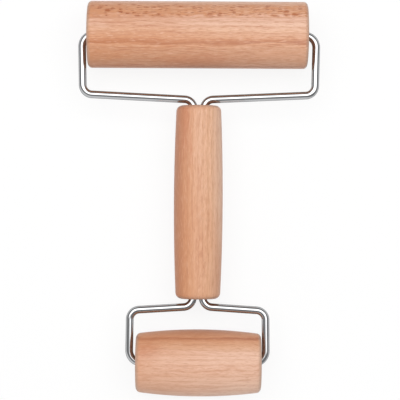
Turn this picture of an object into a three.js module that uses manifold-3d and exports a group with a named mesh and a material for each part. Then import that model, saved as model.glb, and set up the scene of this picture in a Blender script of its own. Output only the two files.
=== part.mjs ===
// A double-ended pastry roller, lying on its rollers.
// A turned wooden handle holds a bent-wire yoke at each end. The middle of each wire runs right through
// a wooden roller and is its axle: a straight roller at one end, a barrel-shaped one at the other.
// Millimetres and degrees, +Z up, +Y along the handle towards the long roller, +X along the axles.
// The origin is the middle of the tool's outline, on the surface that the rollers lie on.

import * as THREE from "three";
import { mergeVertices } from "three/addons/utils/BufferGeometryUtils.js";
import Module from "manifold-3d";

const wasm = await Module();
wasm.setup();

// Rollers
const ROLLER_DIAMETER = 30.5; // both rollers at their widest, so that the tool lies level
const LONG_ROLLER_LENGTH = 100;
const SHORT_ROLLER_LENGTH = 57;
const SHORT_ROLLER_CROWN = 1.95; // the barrel's radius falls by this much from its middle to its ends
const ROLLER_EDGE_RADIUS = 2;
const AXLE_CLEARANCE = 0.3; // all round the wire in a roller's bore
const BORE_CHAMFER = 0.4; // kept clear of the wire's bend in the bore's countersunk mouth

// Handle
const HANDLE_LENGTH = 88;
const HANDLE_END_DIAMETER = 20.2;
const HANDLE_SWELL = 1.05; // the handle's radius grows by this much from its ends to its middle
const HANDLE_EDGE_RADIUS = 2.6;

// Wire, with its bends measured on the centreline
const WIRE_DIAMETER = 3.5;
const AXLE_BEND_RADIUS = 5.5;
const CORNER_BEND_RADIUS = 4.4;
const LEG_BEND_RADIUS = 4.4;
const LEG_DEPTH = 24; // from the handle's end face to the tip of a leg
const LEG_GAP = 1; // between the two legs of a yoke, side by side in the handle
const SOCKET_CLEARANCE = 0.25; // round the legs in the handle
const MOUTH_CHAMFER = 0.5; // kept clear of the legs' bends in a socket's flared mouth

// Yokes: the gaps are clear distances between surfaces
const LONG_END_PLAY = 1.4; // between an arm and the end of a centred roller
const SHORT_END_PLAY = 0.75;
const LONG_ROLLER_SLID = 0.5; // share of its end play that a roller has slid to one side
const SHORT_ROLLER_SLID = 0.6;
const LONG_THROAT = 10.2; // between the roller and the outer corner of the cross arms
const SHORT_THROAT = 6.85;
const LONG_NECK_GAP = 0.9; // between the handle's end face and the root of the cross arms
const SHORT_NECK_GAP = 1.9;
const LONG_CROSS_ARM_RISE = 2.7; // degrees by which the cross arms lean away from the handle
const SHORT_CROSS_ARM_RISE = 3.6;
const LONG_ARM_SPLAY = 1.2; // degrees by which the arms open towards the roller
const SHORT_ARM_SPLAY = 0.8;

// Fineness of the facets
const TURNED_SIDES = 64; // a multiple of four, so that flats face straight down and straight out
const WIRE_SIDES = 16;
const EDGE_STEPS = 5;
const SWELL_STEPS = 12;
const BEND_STEPS = 8;

const WIRE_RADIUS = WIRE_DIAMETER / 2;
const ROLLER_RADIUS = ROLLER_DIAMETER / 2;
const ROLLER_FLAT_RADIUS = ROLLER_RADIUS * Math.cos(Math.PI / TURNED_SIDES); // from the axis to a flat
const LEG_X = (LEG_GAP + WIRE_DIAMETER) / 2;

const beech = { color: 0xdaaa8c, roughness: 0.6, metalness: 0 };
const steel = { color: 0xc6c7c9, roughness: 0.18, metalness: 1 };

function namedMesh(name, geometry, finish) {
  const mesh = new THREE.Mesh(geometry, new THREE.MeshStandardMaterial(finish));
  mesh.name = name;
  return mesh;
}

function solidFromGeometry(geometry) {
  const bare = geometry.clone();
  bare.deleteAttribute("normal");
  bare.deleteAttribute("uv");
  const merged = mergeVertices(bare);
  const vertProperties = merged.getAttribute("position").array;
  const triVerts = new Uint32Array(merged.getIndex().array);
  return new wasm.Manifold(new wasm.Mesh({ numProp: 3, vertProperties, triVerts }));
}

function geometryFromSolid(solid) {
  const { vertProperties, triVerts } = solid.getMesh();
  const geometry = new THREE.BufferGeometry();
  geometry.setAttribute("position", new THREE.BufferAttribute(vertProperties, 3));
  geometry.setIndex(new THREE.BufferAttribute(triVerts, 1));
  geometry.computeVertexNormals();
  return geometry;
}

// The outside of a turned piece from one end face to the other, as points of radius and height.
// Its radius follows a parabola between rounded edges, which meet the parabola along its slope.
function turnedOutline({ length, endRadius, swell, edgeRadius }) {
  const half = length / 2;
  const slope = Math.atan((2 * swell) / half);
  const edgeCentreHeight = half - edgeRadius;
  const edgeCentreRadius = endRadius + edgeRadius * Math.tan(slope) - edgeRadius / Math.cos(slope);
  const edgeTopHeight = edgeCentreHeight + edgeRadius * Math.sin(slope);
  const upperEdge = [];
  for (let step = 0; step <= EDGE_STEPS; step += 1) {
    const angle = slope + ((Math.PI / 2 - slope) * step) / EDGE_STEPS;
    const radius = edgeCentreRadius + edgeRadius * Math.cos(angle);
    upperEdge.push(new THREE.Vector2(radius, edgeCentreHeight + edgeRadius * Math.sin(angle)));
  }
  const side = [];
  const steps = swell === 0 ? 1 : SWELL_STEPS;
  for (let step = 1; step < steps; step += 1) {
    const height = edgeTopHeight * ((2 * step) / steps - 1);
    side.push(new THREE.Vector2(endRadius + swell * (1 - (height / half) ** 2), height));
  }
  const lowerEdge = upperEdge.map((point) => new THREE.Vector2(point.x, -point.y)).reverse();
  return [...lowerEdge, ...side, ...upperEdge];
}

// How far the surface of a wire strays from its straight run, at this distance along the run into a bend
function bendSpread(bendRadius, distance) {
  const angle = Math.asin(distance / bendRadius);
  return bendRadius * (1 - Math.cos(angle)) + WIRE_RADIUS * (1 / Math.cos(angle) - 1);
}

// A bored roller about the Y axis, turned so that flats of its facets face along Z.
// The bore's mouths are countersunk, so that the roller can slide up to an arm and over the bend of its axle.
function rollerGeometry({ rollerLength: length, crown, endPlay }, { axleStraightHalf }) {
  const half = length / 2;
  const boreRadius = WIRE_RADIUS + AXLE_CLEARANCE;
  const bendInBore = Math.max(0, half + endPlay - axleStraightHalf);
  const mouthDepth = bendInBore + BORE_CHAMFER;
  const mouthRadius = boreRadius + bendSpread(AXLE_BEND_RADIUS, bendInBore) + BORE_CHAMFER;
  const outside = turnedOutline({
    length,
    endRadius: ROLLER_RADIUS - crown,
    swell: crown,
    edgeRadius: ROLLER_EDGE_RADIUS,
  });
  const outline = [
    new THREE.Vector2(mouthRadius, -half),
    ...outside,
    new THREE.Vector2(mouthRadius, half),
    new THREE.Vector2(boreRadius, half - mouthDepth),
    new THREE.Vector2(boreRadius, -half + mouthDepth),
    new THREE.Vector2(mouthRadius, -half),
  ];
  return new THREE.LatheGeometry(outline, TURNED_SIDES).rotateY(Math.PI / TURNED_SIDES);
}

// A wire's centreline in the XY plane: straight runs between corners, each corner rounded to its bend radius.
// Its parameter runs from station to station, so a straight run is one step and a bend is several.
class BentWire extends THREE.Curve {
  constructor(corners) {
    super();
    const last = corners.length - 1;
    const firstRun = corners[1].point.clone().sub(corners[0].point).normalize();
    const lastRun = corners[last].point.clone().sub(corners[last - 1].point).normalize();
    this.stations = [{ point: corners[0].point, direction: firstRun }];
    for (let index = 1; index < last; index += 1) {
      this.addBend(corners[index - 1].point, corners[index], corners[index + 1].point);
    }
    this.stations.push({ point: corners[last].point, direction: lastRun });
  }

  addBend(before, { point, bendRadius }, after) {
    const runIn = point.clone().sub(before).normalize();
    const runOut = after.clone().sub(point).normalize();
    const turn = Math.atan2(runIn.cross(runOut), runIn.dot(runOut));
    const towardsCentre = new THREE.Vector2(-runIn.y, runIn.x).multiplyScalar(bendRadius * Math.sign(turn));
    const start = point.clone().addScaledVector(runIn, -bendRadius * Math.tan(Math.abs(turn) / 2));
    const centre = start.clone().add(towardsCentre);
    for (let step = 0; step <= BEND_STEPS; step += 1) {
      const angle = (turn * step) / BEND_STEPS;
      this.stations.push({
        point: start.clone().rotateAround(centre, angle),
        direction: runIn.clone().rotateAround(new THREE.Vector2(), angle),
      });
    }
  }

  stationAt(share) {
    return this.stations[Math.round(share * (this.stations.length - 1))];
  }

  getPointAt(share, target = new THREE.Vector3()) {
    const { point } = this.stationAt(share);
    return target.set(point.x, point.y, 0);
  }

  getTangentAt(share, target = new THREE.Vector3()) {
    const { direction } = this.stationAt(share);
    return target.set(direction.x, direction.y, 0);
  }
}

// Where the wire of a yoke turns, seen from the middle of the handle's end face with +Y pointing outwards
function yokeLayout({ rollerLength, endPlay, throat, neckGap, crossArmRise, armSplay }) {
  const rise = Math.tan(THREE.MathUtils.degToRad(crossArmRise));
  const splay = THREE.MathUtils.degToRad(armSplay);
  const armLength = WIRE_RADIUS + throat + ROLLER_RADIUS;
  const armAtRim = rollerLength / 2 + endPlay + WIRE_RADIUS / Math.cos(splay);
  const axleX = armAtRim + ROLLER_RADIUS * Math.tan(splay);
  const axleStraightHalf = axleX - AXLE_BEND_RADIUS * Math.tan((Math.PI / 2 + splay) / 2);
  const cornerX = axleX - armLength * Math.tan(splay);
  const neckY = neckGap + WIRE_RADIUS;
  const cornerY = neckY + rise * (cornerX - LEG_X);
  return { axleX, axleY: cornerY + armLength, axleStraightHalf, cornerX, cornerY, neckY };
}

function yokeGeometry({ axleX, axleY, cornerX, cornerY, neckY }) {
  const oneSide = [
    { point: new THREE.Vector2(LEG_X, -LEG_DEPTH), bendRadius: 0 },
    { point: new THREE.Vector2(LEG_X, neckY), bendRadius: LEG_BEND_RADIUS },
    { point: new THREE.Vector2(cornerX, cornerY), bendRadius: CORNER_BEND_RADIUS },
    { point: new THREE.Vector2(axleX, axleY), bendRadius: AXLE_BEND_RADIUS },
  ];
  const otherSide = oneSide.map(({ point, bendRadius }) => ({
    point: new THREE.Vector2(-point.x, point.y),
    bendRadius,
  }));
  const centreline = new BentWire([...oneSide, ...otherSide.reverse()]);
  const section = new THREE.Shape().absarc(0, 0, WIRE_RADIUS, 0, 2 * Math.PI);
  return new THREE.ExtrudeGeometry(section, {
    curveSegments: WIRE_SIDES / 2,
    steps: centreline.stations.length - 1,
    extrudePath: centreline,
  });
}

// A slot with round ends, as wide as the two legs side by side
function slotOutline() {
  const endRadius = WIRE_RADIUS + SOCKET_CLEARANCE;
  return new THREE.Shape()
    .absarc(LEG_X, 0, endRadius, -Math.PI / 2, Math.PI / 2)
    .absarc(-LEG_X, 0, endRadius, Math.PI / 2, 1.5 * Math.PI);
}

// What is cut from the handle's end for the legs: a blind slot, flared at its mouth where the legs bend apart
function socketSolid({ cornerX, cornerY, neckY }, placement) {
  const legTurn = Math.PI / 2 - Math.atan2(cornerY - neckY, cornerX - LEG_X);
  const bendInSocket = Math.max(0, LEG_BEND_RADIUS * Math.tan(legTurn / 2) - neckY);
  const mouthDepth = bendInSocket + MOUTH_CHAMFER;
  const slot = new THREE.ExtrudeGeometry(slotOutline(), {
    curveSegments: WIRE_SIDES / 2,
    depth: LEG_DEPTH + SOCKET_CLEARANCE + mouthDepth,
    bevelEnabled: false,
  });
  const mouth = new THREE.ExtrudeGeometry(slotOutline(), {
    curveSegments: WIRE_SIDES / 2,
    depth: mouthDepth,
    bevelSegments: 1,
    bevelThickness: mouthDepth,
    bevelSize: bendSpread(LEG_BEND_RADIUS, bendInSocket) + MOUTH_CHAMFER,
  });
  slot.translate(0, 0, -LEG_DEPTH - SOCKET_CLEARANCE).rotateX(-Math.PI / 2).applyMatrix4(placement);
  mouth.rotateX(-Math.PI / 2).applyMatrix4(placement);
  return solidFromGeometry(slot).add(solidFromGeometry(mouth));
}

function handleGeometry(sockets) {
  const half = HANDLE_LENGTH / 2;
  const outline = [
    new THREE.Vector2(0, -half),
    ...turnedOutline({
      length: HANDLE_LENGTH,
      endRadius: HANDLE_END_DIAMETER / 2,
      swell: HANDLE_SWELL,
      edgeRadius: HANDLE_EDGE_RADIUS,
    }),
    new THREE.Vector2(0, half),
  ];
  const body = solidFromGeometry(new THREE.LatheGeometry(outline, TURNED_SIDES));
  return geometryFromSolid(sockets.reduce((wood, socket) => wood.subtract(socket), body));
}

// A yoke and its roller, laid out from the middle of the handle's end face
function rollerEnd(name, sizes, layout, placement) {
  const yoke = namedMesh(`${name}_yoke`, yokeGeometry(layout), steel);
  const roller = namedMesh(`${name}_roller`, rollerGeometry(sizes, layout), beech);
  roller.rotation.z = -Math.PI / 2;
  roller.position.set(-sizes.slid * sizes.endPlay, layout.axleY, 0);
  const end = new THREE.Group();
  end.add(yoke, roller);
  end.applyMatrix4(placement);
  return end;
}

const longSizes = {
  rollerLength: LONG_ROLLER_LENGTH,
  crown: 0,
  endPlay: LONG_END_PLAY,
  slid: LONG_ROLLER_SLID,
  throat: LONG_THROAT,
  neckGap: LONG_NECK_GAP,
  crossArmRise: LONG_CROSS_ARM_RISE,
  armSplay: LONG_ARM_SPLAY,
};
const shortSizes = {
  rollerLength: SHORT_ROLLER_LENGTH,
  crown: SHORT_ROLLER_CROWN,
  endPlay: SHORT_END_PLAY,
  slid: SHORT_ROLLER_SLID,
  throat: SHORT_THROAT,
  neckGap: SHORT_NECK_GAP,
  crossArmRise: SHORT_CROSS_ARM_RISE,
  armSplay: SHORT_ARM_SPLAY,
};

const longLayout = yokeLayout(longSizes);
const shortLayout = yokeLayout(shortSizes);

const longPlacement = new THREE.Matrix4().makeTranslation(0, HANDLE_LENGTH / 2, 0);
const shortPlacement = new THREE.Matrix4().makeRotationZ(Math.PI).setPosition(0, -HANDLE_LENGTH / 2, 0);

const longEnd = rollerEnd("long", longSizes, longLayout, longPlacement);
const shortEnd = rollerEnd("short", shortSizes, shortLayout, shortPlacement);
const sockets = [socketSolid(longLayout, longPlacement), socketSolid(shortLayout, shortPlacement)];
const handle = namedMesh("handle", handleGeometry(sockets), beech);

const pastryRoller = new THREE.Group();
pastryRoller.add(handle, longEnd, shortEnd);
pastryRoller.position.set(0, (shortLayout.axleY - longLayout.axleY) / 2, ROLLER_FLAT_RADIUS);

export default pastryRoller;
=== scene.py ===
"""A double-ended pastry roller in turned beech and bent steel wire, lying on a white table.

The handle holds a wire yoke at each end, and the middle of each wire is the axle of a roller: a long
straight one and a short barrel-shaped one. Metres, +Z up, +Y along the handle towards the long roller.
"""

import math

import bmesh
import bpy
from mathutils import Euler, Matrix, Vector


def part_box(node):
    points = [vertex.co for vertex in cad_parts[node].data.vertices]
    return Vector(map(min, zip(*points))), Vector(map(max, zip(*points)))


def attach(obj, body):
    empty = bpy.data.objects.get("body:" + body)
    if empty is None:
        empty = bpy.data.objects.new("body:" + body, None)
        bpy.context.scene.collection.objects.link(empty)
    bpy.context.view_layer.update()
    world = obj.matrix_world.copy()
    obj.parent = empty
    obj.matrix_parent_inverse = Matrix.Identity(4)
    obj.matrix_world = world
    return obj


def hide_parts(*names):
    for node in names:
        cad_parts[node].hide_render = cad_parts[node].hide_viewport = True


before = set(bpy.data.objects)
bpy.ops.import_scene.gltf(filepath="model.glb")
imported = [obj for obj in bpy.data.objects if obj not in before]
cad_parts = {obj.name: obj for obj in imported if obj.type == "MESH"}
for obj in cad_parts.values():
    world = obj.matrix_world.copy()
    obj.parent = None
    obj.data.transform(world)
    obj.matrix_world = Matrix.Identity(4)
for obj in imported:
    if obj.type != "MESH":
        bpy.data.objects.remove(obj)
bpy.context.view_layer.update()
handle_low, handle_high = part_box("handle")
handle_centre = (handle_low + handle_high) / 2

MM = 0.001
ALONG_X = 0
ALONG_Y = 1
QUARTER_TURN = math.pi / 2

# Turned pieces
SHORT_ROLLER_CROWN = 1.95 * MM  # the barrel's radius falls by this much from its middle to its ends
ROLLER_EDGE_RADIUS = 2 * MM
HANDLE_SWELL = 1.05 * MM  # the handle's radius grows by this much from its ends to its middle
HANDLE_EDGE_RADIUS = 2.6 * MM
END_MARGIN = 0.4 * MM  # ring of flat wood that keeps an end face flat next to its rounded rim
BORE_RADIUS = 2.05 * MM
BORE_MOUTH_RADIUS = 4.3 * MM
BORE_MOUTH_DEPTH = 3.9 * MM
BORE_LIP = 0.3 * MM  # rounding of the bore's mouth
TURNED_SIDES = 128
ROLLER_RINGS = 20
HANDLE_RINGS = 24
RIM_STEPS = 10
LIP_STEPS = 4

# Wire, with its bends measured on the centreline
WIRE_RADIUS = 1.75 * MM
AXLE_BEND_RADIUS = 5.5 * MM
CORNER_BEND_RADIUS = 4.4 * MM
LEG_BEND_RADIUS = 4.4 * MM
LEG_DEPTH = 24 * MM  # from the handle's end face to the tip of a leg
LEG_X = 2.25 * MM  # from the middle of the handle to the middle of a leg
WIRE_SIDES = 32
BEND_STEPS = 18
RUN_MARGIN = 0.4 * MM  # short step at each end of a straight run, which keeps the run straight

# Sockets in the handle: a slot for the two legs, flared at its mouth
SLOT_RADIUS = 2 * MM
FLARE_DEPTH = 1.8 * MM
FLARE_WIDTH = 0.85 * MM
FLARE_STEPS = 5
SLOT_SIDES = 32

# Yokes: gaps are clear distances between surfaces, angles are in degrees
LONG_YOKE = {"end_play": 1.4 * MM, "throat": 10.2 * MM, "neck_gap": 0.9 * MM, "splay": 1.2}
SHORT_YOKE = {"end_play": 0.75 * MM, "throat": 6.85 * MM, "neck_gap": 1.9 * MM, "splay": 0.8}

# Shaping and shading of meshes
ON_PLANE = 0.01 * MM  # a vertex nearer to a plane than this lies on it
MERGE_DISTANCE = 0.0005 * MM
FACES_OUT = 0.9  # least part of an end face's normal that points along the handle
SMOOTH_ANGLE = 35  # degrees, the sharpest edge that is shaded as a round surface
ROUND_PROFILE = 0.5  # profile of a bevel that is part of a circle

# Tones of beech
CREAM = (0.92, 0.63, 0.48, 1)
PALE = (0.84, 0.53, 0.385, 1)
PINK = (0.80, 0.47, 0.34, 1)
STRAW = (0.85, 0.515, 0.325, 1)
TAN = (0.78, 0.45, 0.285, 1)
OCHRE = (0.74, 0.385, 0.22, 1)
ORANGE = (0.68, 0.31, 0.16, 1)
RUSSET = (0.55, 0.215, 0.105, 1)
REDDISH = (0.60, 0.205, 0.095, 1)
FLECK = (0.42, 0.11, 0.035, 1)
WORN_AND_SHADED = (0.50, 0.34, 0.25, 1)

# The log that each piece was cut from, in millimetres from the middle of the piece
# pith: where the middle of the log lies
# lean: degrees between the grain and the piece's axis
# zones: tones at distances from the pith
# raggedness: how much the streaks fray the edges of the zones and of the heartwood
# figure: strength of the year rings, streaks and dashes
# flecks: strength of the ray flecks
# paler_end: how much paler the piece is towards one end
# heartwood: middle of a patch of red heartwood, and how far it reaches each way
LONG_TIMBER = {
    "pith": (0, -43, 42),
    "lean": 0.3,
    "zones": (
        (44.8, ORANGE), (45.5, TAN), (46.6, ORANGE), (47.3, FLECK), (47.9, ORANGE), (51, TAN), (54, PALE),
        (57.5, PINK), (60, OCHRE), (64, OCHRE), (70, CREAM),
    ),
    "raggedness": 3.8,
    "figure": 1.3,
    "flecks": 0.95,
    "paler_end": 0.28,
    "heartwood": ((1, -12.6, 8.5), (20, 3, 6)),
}
SHORT_TIMBER = {
    "pith": (0, 50, 8),
    "lean": -0.5,
    "zones": (
        (35.5, RUSSET), (36.4, ORANGE), (37.5, ORANGE), (38.3, FLECK), (39.1, ORANGE), (40.3, OCHRE),
        # The outermost stops lighten the roller's lower side, partly as its tone and partly as painted light
        (42.3, TAN), (44.2, PALE), (54, PALE), (66, CREAM),
    ),
    "raggedness": 1.8,
    "figure": 0.75,
    "flecks": 0.12,
    "paler_end": 0.12,
    "heartwood": ((-25, 7, 13), (9, 5, 6)),
}
HANDLE_TIMBER = {
    "pith": (-48, 0, 14),
    "lean": -1,
    "zones": ((39.5, RUSSET), (42, ORANGE), (45, OCHRE), (48.5, TAN), (53, STRAW), (62, CREAM)),
    "raggedness": 5.5,
    "figure": 0.8,
    "flecks": 0.2,
    "paler_end": 0.12,
    "heartwood": ((-6.5, 38, 8), (3.5, 20, 6)),
}

# Grain, in millimetres: sizes of its features along the log, out from the pith and round it
YEAR_RING = 2.3  # growth in a year
GRAIN_SWAY = (26, 8, 8)
SWAY_REACH = (0, 2.4, 2.4)
STREAKS = (15, 0.75, 0.75)
DASHES = (3.4, 0.45, 0.45)
PORES = (2.6, 0.2, 0.2)
CLOUDS = (38, 9, 9)
LARGE_SPOTS = (4.2, 1.7, 4.2)
SMALL_SPOTS = (3.0, 0.9, 2.2)
SPOT_EDGES = (1.1, 0.5, 0.5)
SPOT_FRAYING = (2.2, 1.2, 1.2)
MOTTLING = (3, 0.9, 3)
END_GRAIN_RAYS = (1, 4, 0.3)
END_GRAIN_AND_SHADE_EDGE = (0.12, 0.01)  # from an end face, where its cut grain and painted shade start and are full
RIM_WEAR_AND_SHADE_EDGE = (1.8, 0.4)  # from an end face, where the rim's wear and painted shade start and are full

# Wood's surface
NOISE_MEAN = 0.5
FLECKED_FACING = 0.2  # how squarely a surface faces away from the pith where it has the most flecks
WOOD_RELIEF = 0.03 * MM
WOOD_ROUGHNESS = (0.5, 0.62)

# Wire's finish
STEEL_BRIGHT = (0.56, 0.565, 0.575, 1)
STEEL_DULL = (0.46, 0.465, 0.475, 1)
STEEL_EDGE = (0.12, 0.12, 0.12, 1)  # tint of what is seen at a grazing angle
STEEL_ROUGHNESS = (0.03, 0.11)
DRAWING_LINES = (9 * MM, 0.1 * MM, 0.1 * MM)
DRAWING_RELIEF = 0.003 * MM
SMUDGES = (7 * MM, 2.5 * MM, 2.5 * MM)

# Table and light
WHITE = (1, 1, 1, 1)
TABLE_COLOUR = (0.55, 0.55, 0.55, 1)  # as it lights the tool from below
TABLE_RADIUS = 4
TABLE_SIDES = 96
TABLE_GLOW = 0.86  # share of the table's look that the tool's shadow doesn't reach
BRIGHT_SIDE = (-0.4, -0.8, -0.45)  # towards the room's bright side, low down past the short roller
BRIGHT_SIDE_EDGE = (0.28, 0.52)  # how squarely a direction faces that side where it starts and is full
ROOM_LIGHT = (0.28, 1.0)  # on the dim side and on the bright side
SOFTBOX_PLACE = (0.06, 0.36, 1.31)
SOFTBOX_SIZE = (2.8, 1.4)
SOFTBOX_POWER = 33.6
LAMP_MIDDLE = (0.5, 0.5, 0)
LAMP_EDGE = (0.5, 0.25)  # shares of a lamp's size from its middle, where its light starts and is full

# Camera, with the view's width measured at the height of the axles
CAMERA_DISTANCE = 770.8 * MM
VIEW_WIDTH = 182.42 * MM
CAMERA_X = 0.77 * MM
CAMERA_Y = -0.51 * MM
CAMERA_TURN = 0.32  # degrees


# Modelling

def choose(kind, wanted):
    """Selects only those vertices, edges or faces of the piece in edit mode that are wanted."""
    bpy.ops.mesh.select_mode(type=kind)
    bpy.ops.mesh.select_all(action="DESELECT")
    mesh = bmesh.from_edit_mesh(bpy.context.edit_object.data)
    elements = {"VERT": mesh.verts, "EDGE": mesh.edges, "FACE": mesh.faces}[kind]
    for element in elements:
        if wanted(element):
            element.select_set(True)
    bmesh.update_edit_mesh(bpy.context.edit_object.data)


def place_in_mesh(name):
    """Names the primitive just added, moves its place into its mesh and opens it for editing."""
    piece = bpy.context.object
    piece.name = name
    piece.data.name = name
    bpy.ops.object.transform_apply(location=True, rotation=True, scale=True)
    bpy.ops.object.mode_set(mode="EDIT")
    return piece


def round_edges(radius, steps):
    """Rounds the selected edges."""
    bpy.ops.mesh.bevel(
        offset=radius, offset_type="OFFSET", segments=steps, profile=ROUND_PROFILE, affect="EDGES")


def close_and_smooth(piece):
    """Merges doubled vertices, turns all faces outwards, and shades the round surfaces smooth."""
    bpy.ops.mesh.select_all(action="SELECT")
    bpy.ops.mesh.remove_doubles(threshold=MERGE_DISTANCE)
    bpy.ops.mesh.normals_make_consistent(inside=False)
    bpy.ops.object.mode_set(mode="OBJECT")
    bpy.ops.object.select_all(action="DESELECT")
    piece.select_set(True)
    bpy.context.view_layer.objects.active = piece
    bpy.ops.object.shade_smooth_by_angle(angle=math.radians(SMOOTH_ANGLE))


def turned_blank(name, axis, centre, length, end_radius, swell, edge_radius, rings):
    """A round blank, swollen towards its middle and rounded at both rims, left in edit mode."""
    half = length / 2
    turn = (0, QUARTER_TURN, 0) if axis == ALONG_X else (-QUARTER_TURN, 0, 0)
    bpy.ops.object.select_all(action="DESELECT")
    bpy.ops.mesh.primitive_cylinder_add(
        vertices=TURNED_SIDES, radius=end_radius, depth=length, end_fill_type="NGON",
        location=centre, rotation=turn)
    piece = place_in_mesh(name)

    def height(vertex):
        return vertex.co[axis] - centre[axis]

    choose("EDGE", lambda edge: abs(height(edge.verts[0]) - height(edge.verts[1])) > half)
    bpy.ops.mesh.subdivide(number_cuts=rings - 1)
    for ring in range(1, rings):
        ring_height = half * (2 * ring / rings - 1)
        growth = 1 + swell * (1 - (ring_height / half) ** 2) / end_radius
        widths = (1, growth, growth) if axis == ALONG_X else (growth, 1, growth)
        choose("VERT", lambda vertex: abs(height(vertex) - ring_height) < ON_PLANE)
        bpy.ops.transform.resize(value=widths, center_override=centre)
    choose("EDGE", lambda edge: all(abs(abs(height(vertex)) - half) < ON_PLANE for vertex in edge.verts))
    round_edges(edge_radius, RIM_STEPS)
    choose("FACE", lambda face: len(face.verts) == TURNED_SIDES)
    bpy.ops.mesh.inset(thickness=END_MARGIN, depth=0)
    return piece


def make_roller(name, crown):
    """A turned roller with a bore for its axle, countersunk at both ends, in the place of its CAD node."""
    low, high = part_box(name)
    centre = (low + high) / 2
    length = high.x - low.x
    radius = (high.z - low.z) / 2
    end_radius = radius - crown
    piece = turned_blank(
        name + "_beech", ALONG_X, centre, length, end_radius, crown, ROLLER_EDGE_RADIUS, ROLLER_RINGS)
    end_face_radius = end_radius - ROLLER_EDGE_RADIUS - END_MARGIN
    choose("FACE", lambda face: len(face.verts) == TURNED_SIDES)
    bpy.ops.mesh.inset(thickness=end_face_radius - BORE_MOUTH_RADIUS, depth=0)
    bpy.ops.mesh.inset(thickness=BORE_MOUTH_RADIUS - BORE_RADIUS, depth=-BORE_MOUTH_DEPTH)
    bpy.ops.mesh.bridge_edge_loops()

    def on_mouth(vertex):
        from_axis = math.hypot(vertex.co.y - centre.y, vertex.co.z - centre.z)
        at_end = abs(vertex.co.x - centre.x) > length / 2 - ON_PLANE
        return at_end and from_axis < BORE_MOUTH_RADIUS + END_MARGIN

    choose("EDGE", lambda edge: all(on_mouth(vertex) for vertex in edge.verts))
    round_edges(BORE_LIP, LIP_STEPS)
    close_and_smooth(piece)
    return piece


def socket_cutter(end_y, outwards):
    """What is cut from an end of the handle: a blind slot for two legs, flared where they bend apart."""
    centre = (handle_centre.x, end_y - outwards * (LEG_DEPTH + FLARE_DEPTH) / 2, handle_centre.z)
    half_step = math.pi / SLOT_SIDES
    bpy.ops.object.select_all(action="DESELECT")
    bpy.ops.mesh.primitive_cylinder_add(
        vertices=SLOT_SIDES, radius=SLOT_RADIUS, depth=LEG_DEPTH - FLARE_DEPTH, end_fill_type="NGON",
        location=centre, rotation=(-QUARTER_TURN, half_step, 0))
    cutter = place_in_mesh("socket_cutter")
    for side in (-1, 1):
        choose("VERT", lambda vertex: side * (vertex.co.x - handle_centre.x) > 0)
        bpy.ops.transform.translate(value=(side * LEG_X, 0, 0))
    choose("FACE", lambda face: outwards * face.normal.y > FACES_OUT)
    mouth = (handle_centre.x, end_y - outwards * FLARE_DEPTH, handle_centre.z)
    width = SLOT_RADIUS
    for step in range(1, FLARE_STEPS + 1):
        angle = QUARTER_TURN * step / FLARE_STEPS
        wider = SLOT_RADIUS + FLARE_WIDTH * (1 - math.cos(angle))
        further = FLARE_DEPTH * (math.sin(angle) - math.sin(angle - QUARTER_TURN / FLARE_STEPS))
        growth = ((LEG_X + wider) / (LEG_X + width), 1, wider / width)
        bpy.ops.mesh.extrude_region_move(TRANSFORM_OT_translate={"value": (0, outwards * further, 0)})
        bpy.ops.transform.resize(value=growth, center_override=mouth)
        width = wider
    bpy.ops.mesh.extrude_region_move(TRANSFORM_OT_translate={"value": (0, outwards * FLARE_DEPTH, 0)})
    bpy.ops.mesh.select_all(action="SELECT")
    bpy.ops.mesh.normals_make_consistent(inside=False)
    bpy.ops.object.mode_set(mode="OBJECT")
    return cutter


def make_handle():
    """The turned handle, with a flared slot cut in each end for the legs of a yoke."""
    length = handle_high.y - handle_low.y
    radius = (handle_high.z - handle_low.z) / 2
    end_radius = radius - HANDLE_SWELL
    piece = turned_blank(
        "handle_beech", ALONG_Y, handle_centre, length, end_radius, HANDLE_SWELL, HANDLE_EDGE_RADIUS,
        HANDLE_RINGS)
    bpy.ops.object.mode_set(mode="OBJECT")
    for end_y, outwards in ((handle_high.y, 1), (handle_low.y, -1)):
        cutter = socket_cutter(end_y, outwards)
        cut = piece.modifiers.new("leg_slot", "BOOLEAN")
        cut.operation = "DIFFERENCE"
        cut.solver = "EXACT"
        cut.object = cutter
        bpy.context.view_layer.objects.active = piece
        bpy.ops.object.modifier_apply(modifier=cut.name)
        bpy.data.objects.remove(cutter)
    bpy.ops.object.mode_set(mode="EDIT")
    close_and_smooth(piece)
    return piece


def yoke_corners(roller_name, end_y, outwards, sizes):
    """Where the wire of a yoke turns, from one leg's tip round to the other's, each with its bend radius."""
    low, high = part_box(roller_name)
    splay = math.radians(sizes["splay"])
    roller_radius = (high.z - low.z) / 2
    axle_distance = outwards * ((low.y + high.y) / 2 - end_y)
    arm_length = WIRE_RADIUS + sizes["throat"] + roller_radius
    arm_at_rim = (high.x - low.x) / 2 + sizes["end_play"] + WIRE_RADIUS / math.cos(splay)
    axle_x = arm_at_rim + roller_radius * math.tan(splay)
    corner_x = axle_x - arm_length * math.tan(splay)
    one_side = [
        (LEG_X, -LEG_DEPTH, 0),
        (LEG_X, sizes["neck_gap"] + WIRE_RADIUS, LEG_BEND_RADIUS),
        (corner_x, axle_distance - arm_length, CORNER_BEND_RADIUS),
        (axle_x, axle_distance, AXLE_BEND_RADIUS),
    ]
    other_side = [(-x, distance, bend) for x, distance, bend in reversed(one_side)]
    return [
        (Vector((handle_centre.x + x, end_y + outwards * distance, handle_centre.z)), bend)
        for x, distance, bend in one_side + other_side
    ]


def draw_wire(run):
    """Draws the wire's open end out along a straight run."""
    direction = run.normalized()
    for length in (RUN_MARGIN, run.length - 2 * RUN_MARGIN, RUN_MARGIN):
        bpy.ops.mesh.extrude_region_move(TRANSFORM_OT_translate={"value": direction * length})


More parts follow.
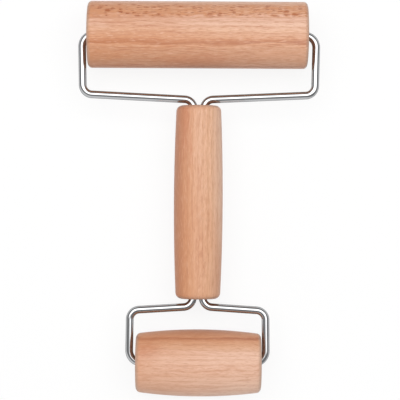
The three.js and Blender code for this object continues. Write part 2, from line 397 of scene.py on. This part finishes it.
def bend_wire(before, corner, bend_radius, after):
    """Draws the wire up to a corner and round its bend, and returns where the bend ends."""
    run_in = (corner - before).normalized()
    run_out = (after - corner).normalized()
    turn = math.atan2(run_in.cross(run_out).z, run_in.dot(run_out))
    trimmed = bend_radius * math.tan(abs(turn) / 2)
    bend_start = corner - run_in * trimmed
    to_centre = Vector((-run_in.y, run_in.x, 0)) * math.copysign(bend_radius, turn)
    draw_wire(bend_start - before)
    bpy.ops.mesh.spin(steps=BEND_STEPS, angle=-turn, center=bend_start + to_centre, axis=(0, 0, 1))
    return corner + run_out * trimmed


def make_yoke(name, corners):
    """A wire bent round its corners, from a disc at the tip of one leg."""
    tip = corners[0][0]
    away = (corners[1][0] - tip).normalized()
    bpy.ops.object.select_all(action="DESELECT")
    bpy.ops.mesh.primitive_circle_add(
        vertices=WIRE_SIDES, radius=WIRE_RADIUS, fill_type="NGON", location=tip,
        rotation=(-math.copysign(QUARTER_TURN, away.y), 0, 0))
    piece = place_in_mesh(name + "_wire")
    bpy.ops.mesh.select_mode(type="FACE")
    bpy.ops.mesh.select_all(action="SELECT")
    for index in range(1, len(corners) - 1):
        corner, bend_radius = corners[index]
        tip = bend_wire(tip, corner, bend_radius, corners[index + 1][0])
    draw_wire(corners[-1][0] - tip)
    close_and_smooth(piece)
    return piece


def mark_drawing(piece):
    """Gives each point of a wire its distance along it and its place across it, for the drawing lines."""
    points = [vertex.co.copy() for vertex in piece.data.vertices]
    rings = [points[start:start + WIRE_SIDES] for start in range(0, len(points), WIRE_SIDES)]
    centres = [sum(ring, Vector()) / WIRE_SIDES for ring in rings]
    marks = piece.data.attributes.new("drawn", "FLOAT_VECTOR", "POINT")
    length = 0
    for index, ring in enumerate(rings):
        step = centres[index] - centres[index - 1] if index else centres[1] - centres[0]
        length += step.length if index else 0
        sideways = Vector((-step.y, step.x, 0)).normalized()
        for side, point in enumerate(ring):
            offset = point - centres[index]
            marks.data[index * WIRE_SIDES + side].vector = (length, offset.dot(sideways), offset.z)


# Materials

class Nodes:
    """A node tree that is built up one node at a time. Most methods add a node and return its output."""

    def __init__(self, tree):
        self.tree = tree
        tree.nodes.clear()

    def add(self, kind, inputs, **settings):
        """Adds a node, with sockets linked and plain values set on its inputs, and returns the node."""
        node = self.tree.nodes.new(kind)
        for name, value in settings.items():
            setattr(node, name, value)
        for name, value in inputs.items():
            if isinstance(value, bpy.types.NodeSocket):
                self.tree.links.new(value, node.inputs[name])
            else:
                node.inputs[name].default_value = value
        return node

    def math(self, operation, first, second=0.0):
        return self.add("ShaderNodeMath", {0: first, 1: second}, operation=operation).outputs[0]

    def vector(self, operation, first, second=(0, 0, 0)):
        return self.add("ShaderNodeVectorMath", {0: first, 1: second}, operation=operation).outputs[0]

    def dot(self, first, second):
        node = self.add("ShaderNodeVectorMath", {0: first, 1: second}, operation="DOT_PRODUCT")
        return node.outputs["Value"]

    def split(self, vector):
        return self.add("ShaderNodeSeparateXYZ", {0: vector}).outputs

    def stretch(self, vector, sizes):
        """The vector counted in steps of these sizes, one for each direction."""
        return self.vector("DIVIDE", vector, sizes)

    def noise(self, vector, sizes, detail=2.0, output="Fac"):
        """Noise with features of about these sizes."""
        inputs = {"Vector": self.stretch(vector, sizes), "Scale": 1.0, "Detail": detail}
        return self.add("ShaderNodeTexNoise", inputs).outputs[output]

    def fade(self, value, start, end):
        """0 before start, 1 past end, smooth between them."""
        inputs = {"Value": value, "From Min": start, "From Max": end}
        return self.add("ShaderNodeMapRange", inputs, interpolation_type="SMOOTHSTEP").outputs[0]

    def spread(self, value, low, high):
        """A value of 0 to 1 spread from low to high."""
        return self.add("ShaderNodeMapRange", {"Value": value, "To Min": low, "To Max": high}).outputs[0]

    def blend(self, first, second, share, strength=1.0):
        """The first colour with a share of the second laid over it, at most as much as the strength."""
        share = self.math("MULTIPLY", share, strength)
        # A Mix node's colours are its inputs 6 and 7 and its output 2
        return self.add("ShaderNodeMix", {0: share, 6: first, 7: second}, data_type="RGBA").outputs[2]

    def bump(self, height, strength, depth):
        inputs = {"Strength": strength, "Distance": depth, "Height": height}
        return self.add("ShaderNodeBump", inputs).outputs[0]

    def zones(self, distance, stops):
        """Colours at distances, blended between them."""
        first, last = stops[0][0], stops[-1][0]
        inputs = {"Value": distance, "From Min": first, "From Max": last}
        share = self.add("ShaderNodeMapRange", inputs).outputs[0]
        ramp = self.add("ShaderNodeValToRGB", {0: share})
        marks = ramp.color_ramp.elements
        while len(marks) < len(stops):
            marks.new(0.5)  # each mark gets its place below
        for mark, (place, colour) in zip(marks, stops):
            mark.position = (place - first) / (last - first)
            mark.color = colour
        return ramp.outputs["Color"]

    def end(self, kind, shader):
        """Adds the tree's output, which shows the shader."""
        output = self.tree.nodes.new(kind)
        self.tree.links.new(shader, output.inputs["Surface"])


def new_material(name):
    material = bpy.data.materials.new(name)
    material.use_nodes = True
    return material, Nodes(material.node_tree)


def log_places(nodes, place, axis, middle, pith, lean):
    """Where a place on the piece lies in the log that the piece was cut from, in millimetres.

    Returns its place in the log, its place along, out from the pith and round it as the grain sways, and how
    squarely the turned surface there faces away from the pith.
    """
    turn = Euler((0, 0, math.radians(lean) + (0 if axis == ALONG_X else QUARTER_TURN)))
    axis_place = -Vector(pith)
    axis_place.rotate(turn.to_matrix().inverted())
    log = nodes.add("ShaderNodeMapping", {
        "Vector": place, "Location": middle + Vector(pith) * MM, "Rotation": turn, "Scale": (MM, MM, MM),
    }, vector_type="TEXTURE").outputs[0]

    sway_noise = nodes.noise(log, GRAIN_SWAY, detail=3.0, output="Color")
    centred_noise = nodes.vector("SUBTRACT", sway_noise, (NOISE_MEAN, NOISE_MEAN, NOISE_MEAN))
    swayed = nodes.vector("ADD", log, nodes.vector("MULTIPLY", centred_noise, SWAY_REACH))
    deep = nodes.dot(swayed, axis_place.normalized())
    beside = nodes.dot(swayed, axis_place.normalized().cross((1, 0, 0)))
    squares = nodes.math("ADD", nodes.math("POWER", deep, 2.0), nodes.math("POWER", beside, 2.0))
    outward = nodes.math("SQRT", squares)
    around = nodes.math("MULTIPLY", nodes.math("ARCTAN2", beside, deep), axis_place.length)
    grain = nodes.add("ShaderNodeCombineXYZ", {0: nodes.split(log)[0], 1: outward, 2: around}).outputs[0]

    flat_log = nodes.vector("MULTIPLY", log, (0, 1, 1))
    from_axis = nodes.vector("NORMALIZE", nodes.vector("SUBTRACT", flat_log, axis_place))
    facing = nodes.dot(nodes.vector("NORMALIZE", flat_log), from_axis)
    return log, grain, facing


def scattered_spots(nodes, places, sizes):
    """Spots of about these sizes, some of them fainter and some left out."""
    inputs = {"Vector": nodes.stretch(places, sizes), "Scale": 1.0}
    cells = nodes.add("ShaderNodeTexVoronoi", inputs).outputs
    picked = nodes.fade(nodes.split(cells["Color"])[0], 0.42, 0.72)
    return nodes.math("MULTIPLY", nodes.fade(cells["Distance"], 0.52, 0.2), picked)


def ray_flecks(nodes, grain, facing):
    """Small dark spots and broader mottling, where the surface is cut along the wood's rays."""
    off_the_rays = nodes.math("ABSOLUTE", nodes.math("SUBTRACT", facing, FLECKED_FACING))
    along_rays = nodes.fade(off_the_rays, 0.34, 0.16)
    edge_noise = nodes.noise(grain, SPOT_EDGES, output="Color")
    places = nodes.vector("ADD", grain, nodes.vector("MULTIPLY", edge_noise, SPOT_FRAYING))
    large_spots = scattered_spots(nodes, places, LARGE_SPOTS)
    small_spots = scattered_spots(nodes, places, SMALL_SPOTS)
    spots = nodes.math("MAXIMUM", large_spots, small_spots)
    mottling = nodes.fade(nodes.noise(grain, MOTTLING), 0.44, 0.6)
    return nodes.math("MULTIPLY", spots, along_rays), nodes.math("MULTIPLY", mottling, along_rays)


def rings_and_rays(nodes, grain):
    """Late wood, the dark part of each year ring, and the fine rays that cross the rings on a cut end."""
    outward, around = nodes.split(grain)[1:3]
    ring_place = nodes.math("FRACT", nodes.math("DIVIDE", outward, YEAR_RING))
    late_wood = nodes.fade(ring_place, 0.35, 0.95)
    ray_place = nodes.add("ShaderNodeCombineXYZ", {1: outward, 2: around}).outputs[0]
    rays = nodes.fade(nodes.noise(ray_place, END_GRAIN_RAYS, detail=1.0), 0.52, 0.66)
    return late_wood, rays


def heartwood_share(nodes, place, middle, heartwood, raggedness):
    """How much of the red heartwood's tone shows at a place."""
    centre, sizes = heartwood
    offset = nodes.vector("SUBTRACT", place, middle + Vector(centre) * MM)
    steps = nodes.stretch(offset, Vector(sizes) * MM)
    distance = nodes.add("ShaderNodeVectorMath", {0: steps}, operation="LENGTH").outputs["Value"]
    return nodes.fade(nodes.math("ADD", distance, raggedness), 1.3, 0.3)


def near_ends(nodes, from_middle, half_length, edge):
    """0 along the piece, rising to 1 between two distances from its end faces."""
    start, full = edge
    return nodes.fade(from_middle, half_length - start, half_length - full)


def beech(name, axis, box, timber):
    """Bare sanded beech with the grain along the piece."""
    material, nodes = new_material(name)
    low, high = box
    middle = (low + high) / 2
    half_length = (high[axis] - low[axis]) / 2 / MM
    figure = timber["figure"]
    place = nodes.add("ShaderNodeTexCoord", {}).outputs["Object"]
    along = nodes.math("DIVIDE", nodes.math("SUBTRACT", nodes.split(place)[axis], middle[axis]), MM)
    log, grain, facing = log_places(nodes, place, axis, middle, timber["pith"], timber["lean"])
    outward = nodes.split(grain)[1]
    spots, mottling = ray_flecks(nodes, grain, facing)
    late_wood, rays = rings_and_rays(nodes, grain)

    # Streaks, short dashes and fine pores along the grain, and slow changes of tone
    streaks = nodes.noise(grain, STREAKS, detail=3.0)
    dashes = nodes.noise(grain, DASHES)
    pores = nodes.fade(nodes.noise(grain, PORES, detail=1.0), 0.56, 0.72)
    clouds = nodes.fade(nodes.noise(log, CLOUDS, detail=3.0), 0.38, 0.68)

    # End grain with painted shade on the end faces, the rims' wear with painted shade, and a warmer, darker
    # tone at one end than at the other, partly painted shade
    from_middle = nodes.math("ABSOLUTE", along)
    end_grain_and_shade = near_ends(nodes, from_middle, half_length, END_GRAIN_AND_SHADE_EDGE)
    rim_wear_and_shade = near_ends(nodes, from_middle, half_length, RIM_WEAR_AND_SHADE_EDGE)
    warm_and_shaded_end = nodes.fade(along, half_length, -half_length)
    pale_end = nodes.fade(along, -half_length, half_length)
    warm_spots = nodes.math("MULTIPLY", spots, nodes.spread(warm_and_shaded_end, 0.75, 1.0))

    ragged = nodes.math("MULTIPLY", nodes.math("SUBTRACT", streaks, NOISE_MEAN), timber["raggedness"])
    heartwood = heartwood_share(nodes, place, middle, timber["heartwood"], ragged)
    colour = nodes.zones(nodes.math("ADD", outward, ragged), timber["zones"])
    colour = nodes.blend(colour, REDDISH, heartwood, 0.6)
    # The warm end's tone is partly wood and partly painted shade, which darkens that end of each piece
    colour = nodes.blend(colour, ORANGE, nodes.math("MULTIPLY", clouds, warm_and_shaded_end), 0.5)
    colour = nodes.blend(colour, ORANGE, warm_and_shaded_end, 0.24)
    colour = nodes.blend(colour, CREAM, pale_end, timber["paler_end"])
    colour = nodes.blend(colour, RUSSET, late_wood, 0.24 * figure)
    colour = nodes.blend(colour, RUSSET, nodes.fade(streaks, 0.51, 0.67), 0.45 * figure)
    colour = nodes.blend(colour, RUSSET, nodes.fade(dashes, 0.52, 0.69), 0.35 * figure)
    colour = nodes.blend(colour, PALE, nodes.fade(dashes, 0.46, 0.32), 0.35 * figure)
    colour = nodes.blend(colour, ORANGE, mottling, timber["flecks"])
    colour = nodes.blend(colour, FLECK, warm_spots, timber["flecks"])
    colour = nodes.blend(colour, FLECK, pores, 0.2)
    # The rims are greyer and darker, partly as wear and partly as painted shade
    colour = nodes.blend(colour, WORN_AND_SHADED, rim_wear_and_shade, 0.5)
    # Painted shade: the end faces are darker than their end grain alone, as if they lay in shadow
    colour = nodes.blend(colour, RUSSET, end_grain_and_shade, 0.75)
    colour = nodes.blend(colour, FLECK, nodes.math("MULTIPLY", end_grain_and_shade, late_wood), 0.5)
    colour = nodes.blend(colour, PALE, nodes.math("MULTIPLY", end_grain_and_shade, rays), 0.3)

    relief = nodes.math("SUBTRACT", nodes.math("MULTIPLY", spots, 0.4), pores)
    bump = nodes.bump(relief, 0.5, WOOD_RELIEF)
    wear = nodes.math("SUBTRACT", pores, nodes.math("MULTIPLY", rim_wear_and_shade, 0.5))
    shader = nodes.add("ShaderNodeBsdfPrincipled", {
        "Base Color": colour, "Roughness": nodes.spread(wear, *WOOD_ROUGHNESS), "Normal": bump,
        "Specular IOR Level": 0.4, "Sheen Weight": 0.25, "Sheen Roughness": 0.3})
    nodes.end("ShaderNodeOutputMaterial", shader.outputs[0])
    return material


def polished_wire():
    """Bright drawn steel, with fine lines along its length."""
    material, nodes = new_material("steel_wire")
    drawn = nodes.add("ShaderNodeAttribute", {}, attribute_name="drawn").outputs["Vector"]
    lines = nodes.noise(drawn, DRAWING_LINES, detail=3.0)
    smudges = nodes.noise(drawn, SMUDGES, detail=3.0)
    colour = nodes.blend(STEEL_BRIGHT, STEEL_DULL, smudges)
    wear = nodes.math("MULTIPLY", nodes.math("ADD", lines, smudges), 0.5)
    bump = nodes.bump(lines, 0.3, DRAWING_RELIEF)
    shader = nodes.add("ShaderNodeBsdfPrincipled", {
        "Base Color": colour, "Metallic": 1.0, "Roughness": nodes.spread(wear, *STEEL_ROUGHNESS),
        "Normal": bump, "Specular Tint": STEEL_EDGE})
    nodes.end("ShaderNodeOutputMaterial", shader.outputs[0])
    return material


def white_table_top():
    """A white surface that looks white and still takes the tool's shadow."""
    material, nodes = new_material("white_table_top")
    path = nodes.add("ShaderNodeLightPath", {}).outputs
    mirrored = nodes.math("MAXIMUM", path["Is Glossy Ray"], path["Is Transmission Ray"])
    seen = nodes.math("MAXIMUM", path["Is Camera Ray"], mirrored)
    colour = nodes.blend(TABLE_COLOUR, WHITE, seen)
    surface = nodes.add("ShaderNodeBsdfDiffuse", {"Color": colour}).outputs[0]
    glow = nodes.add("ShaderNodeEmission", {"Color": WHITE, "Strength": 1.0}).outputs[0]
    glow_share = nodes.math("MULTIPLY", seen, TABLE_GLOW)
    shader = nodes.add("ShaderNodeMixShader", {0: glow_share, 1: surface, 2: glow})
    nodes.end("ShaderNodeOutputMaterial", shader.outputs[0])
    return material


# Scene

def add_table():
    bpy.ops.object.select_all(action="DESELECT")
    bpy.ops.mesh.primitive_circle_add(
        vertices=TABLE_SIDES, radius=TABLE_RADIUS, fill_type="NGON", location=(0, 0, 0))
    table = bpy.context.object
    table.name = "table_top"
    table.data.materials.append(white_table_top())


def add_lamp(name, place, size, power):
    """A flat lamp that faces the tool and is dimmer towards its edges."""
    lamp = bpy.data.lights.new(name, "AREA")
    lamp.shape = "RECTANGLE"
    lamp.size, lamp.size_y = size
    lamp.energy = power
    lamp.use_nodes = True
    nodes = Nodes(lamp.node_tree)
    spot = nodes.add("ShaderNodeNewGeometry", {}).outputs["Parametric"]
    from_middle = nodes.vector("ABSOLUTE", nodes.vector("SUBTRACT", spot, LAMP_MIDDLE))
    across, along = nodes.split(from_middle)[:2]
    strength = nodes.math("MULTIPLY", nodes.fade(across, *LAMP_EDGE), nodes.fade(along, *LAMP_EDGE))
    glow = nodes.add("ShaderNodeEmission", {"Color": WHITE, "Strength": strength})
    nodes.end("ShaderNodeOutputLight", glow.outputs[0])
    holder = bpy.data.objects.new(name, lamp)
    holder.location = place
    holder.rotation_euler = Vector(place).to_track_quat("Z", "Y").to_euler()
    bpy.context.scene.collection.objects.link(holder)


def light_the_studio():
    """A dim room with a bright side, and a wide softbox overhead."""
    world = bpy.data.worlds.new("studio")
    world.use_nodes = True
    bpy.context.scene.world = world
    nodes = Nodes(world.node_tree)
    towards = nodes.add("ShaderNodeTexCoord", {}).outputs["Generated"]
    brightness = nodes.fade(nodes.dot(towards, BRIGHT_SIDE), *BRIGHT_SIDE_EDGE)
    level = nodes.spread(brightness, *ROOM_LIGHT)
    shader = nodes.add("ShaderNodeBackground", {"Color": WHITE, "Strength": level})
    nodes.end("ShaderNodeOutputWorld", shader.outputs[0])
    add_lamp("softbox", SOFTBOX_PLACE, SOFTBOX_SIZE, SOFTBOX_POWER)


def add_camera():
    """Straight above the tool, turned a little, as far off as the photograph's perspective says."""
    camera = bpy.data.cameras.new("camera")
    camera.lens = camera.sensor_width * CAMERA_DISTANCE / VIEW_WIDTH
    viewer = bpy.data.objects.new("camera", camera)
    viewer.location = (CAMERA_X, CAMERA_Y, handle_centre.z + CAMERA_DISTANCE)
    viewer.rotation_euler = (0, 0, math.radians(CAMERA_TURN))
    bpy.context.scene.collection.objects.link(viewer)
    bpy.context.scene.camera = viewer


# Pieces
long_corners = yoke_corners("long_roller", handle_high.y, 1, LONG_YOKE)
short_corners = yoke_corners("short_roller", handle_low.y, -1, SHORT_YOKE)
handle = make_handle()
long_roller = make_roller("long_roller", 0)
short_roller = make_roller("short_roller", SHORT_ROLLER_CROWN)
long_yoke = make_yoke("long_yoke", long_corners)
short_yoke = make_yoke("short_yoke", short_corners)

# Finishes
handle_beech = beech("handle_beech", ALONG_Y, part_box("handle"), HANDLE_TIMBER)
handle.data.materials.append(handle_beech)
long_roller_beech = beech("long_roller_beech", ALONG_X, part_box("long_roller"), LONG_TIMBER)
long_roller.data.materials.append(long_roller_beech)
short_roller_beech = beech("short_roller_beech", ALONG_X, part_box("short_roller"), SHORT_TIMBER)
short_roller.data.materials.append(short_roller_beech)
steel_wire = polished_wire()
for yoke in (long_yoke, short_yoke):
    mark_drawing(yoke)
    yoke.data.materials.append(steel_wire)

# Each piece with the node that it replaces, the body that it rides on and its material's slot
for piece, node, body, finish in (
    (handle, "handle", "handle_and_yokes", "handle_beech"),
    (long_yoke, "long_yoke", "handle_and_yokes", "steel_wire"),
    (short_yoke, "short_yoke", "handle_and_yokes", "steel_wire"),
    (long_roller, "long_roller", "long_roller", "long_roller_beech"),
    (short_roller, "short_roller", "short_roller", "short_roller_beech"),
):
    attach(piece, body)
    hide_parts(node)

add_table()
light_the_studio()
add_camera()
bpy.context.scene.view_settings.view_transform = "Standard"
